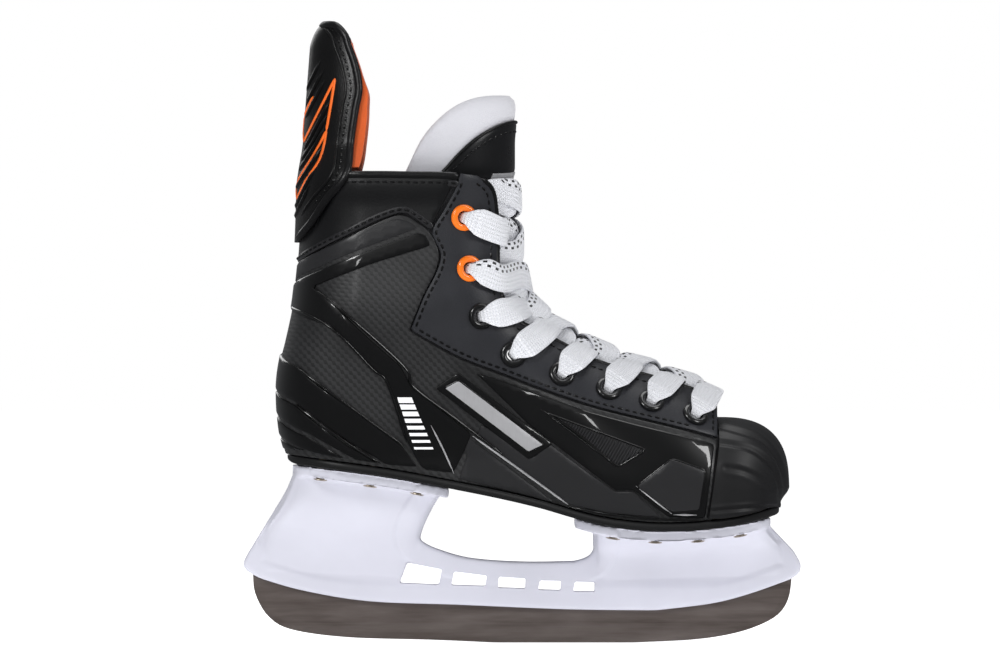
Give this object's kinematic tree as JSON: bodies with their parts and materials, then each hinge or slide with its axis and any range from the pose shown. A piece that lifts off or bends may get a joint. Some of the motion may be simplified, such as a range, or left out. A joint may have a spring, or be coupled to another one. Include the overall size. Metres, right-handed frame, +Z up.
{
  "type": "ice skate",
  "caption": "Right hockey skate: laced boot with a tall tendon guard and felt tongue, riveted to a moulded blade holder with a bolted steel runner.",
  "frame": {"origin": "on the ice, on the flat middle of the runner's lower edge, at half its thickness", "axes": "+X towards the toe, +Y towards the inner (big-toe) side of the right foot, +Z up"},
  "size_m": [0.2509, 0.0919, 0.2786],
  "materials": {
    "frame_plastic": "glossy moulded black",
    "collar_leather": "smooth synthetic leather, satin black",
    "eyestay_leather": "smooth synthetic leather, charcoal",
    "quarter_shell": "stiff laminated shell",
    "badge_plate": "brushed silver plate",
    "ankle_foam": "brushed lining over foam",
    "eyelet_orange": "glossy orange enamel",
    "eyelet_black": "glossy black enamel",
    "toe_plastic": "soft matte black",
    "outsole_plastic": "hard matte black",
    "insole_fibre": "pressed fibre board",
    "footbed_foam": "cloth-topped foam",
    "rivet_metal": "dull plated",
    "holder_plastic": "white moulded nylon",
    "runner_steel": "ground stainless steel",
    "bolt_metal": "zinc plated",
    "guard_leather": "smooth synthetic leather with ribs",
    "guard_lining": "brushed orange lining",
    "tongue_leather": "smooth synthetic leather",
    "tongue_felt": "white needled felt",
    "lace_cloth": "flat woven lace with two dashed tracer rows"
  },
  "bodies": {
    "boot": {"side_frame_outer": "frame_plastic", "collar_outer": "collar_leather", "eyestay_outer": "eyestay_leather", "quarter_outer": "quarter_shell", "badge_outer": "badge_plate", "side_frame_inner": "frame_plastic", "collar_inner": "collar_leather", "eyestay_inner": "eyestay_leather", "quarter_inner": "quarter_shell", "badge_inner": "badge_plate", "ankle_padding": "ankle_foam", "eyelet_outer_1": "eyelet_orange", "eyelet_outer_2": "eyelet_orange", "eyelet_outer_3": "eyelet_black", "eyelet_outer_4": "eyelet_black", "eyelet_outer_5": "eyelet_black", "eyelet_outer_6": "eyelet_black", "eyelet_outer_7": "eyelet_black", "eyelet_outer_8": "eyelet_black", "eyelet_inner_1": "eyelet_orange", "eyelet_inner_2": "eyelet_orange", "eyelet_inner_3": "eyelet_black", "eyelet_inner_4": "eyelet_black", "eyelet_inner_5": "eyelet_black", "eyelet_inner_6": "eyelet_black", "eyelet_inner_7": "eyelet_black", "eyelet_inner_8": "eyelet_black", "toe_cap": "toe_plastic", "vamp": "collar_leather", "outsole": "outsole_plastic", "insole_board": "insole_fibre", "footbed": "footbed_foam", "rivet_heel_outer_1": "rivet_metal", "rivet_heel_inner_1": "rivet_metal", "rivet_heel_outer_2": "rivet_metal", "rivet_heel_inner_2": "rivet_metal", "rivet_heel_outer_3": "rivet_metal", "rivet_heel_inner_3": "rivet_metal", "rivet_fore_outer_1": "rivet_metal", "rivet_fore_inner_1": "rivet_metal", "rivet_fore_outer_2": "rivet_metal", "rivet_fore_inner_2": "rivet_metal", "rivet_fore_outer_3": "rivet_metal", "rivet_fore_inner_3": "rivet_metal", "rivet_fore_outer_4": "rivet_metal", "rivet_fore_inner_4": "rivet_metal", "blade_holder": "holder_plastic", "runner": "runner_steel", "blade_bolt_rear": "bolt_metal", "blade_nut_rear": "bolt_metal", "blade_bolt_front": "bolt_metal", "blade_nut_front": "bolt_metal", "guard_base": "guard_leather", "tongue_lower_face": "tongue_leather", "tongue_lower_felt": "tongue_felt", "lace": "lace_cloth"},
    "tendon_guard": {"tendon_guard": "guard_leather", "guard_liner": "guard_lining"},
    "tongue": {"tongue_upper_face": "tongue_leather", "tongue_upper_felt": "tongue_felt"}
  },
  "joints": [
    {"name": "tendon_guard_flex", "type": "hinge", "parent": "boot", "child": "tendon_guard", "pos_m": [-0.098, 0, 0.208], "axis": [0, 1, 0], "range_deg": [-25, 0], "stiffness_Nm_per_rad": 0.4},
    {"name": "tongue_flex", "type": "hinge", "parent": "boot", "child": "tongue", "pos_m": [-0.006, 0, 0.203], "axis": [0, 1, 0], "range_deg": [-4, 35], "stiffness_Nm_per_rad": 0.3}
  ]
}
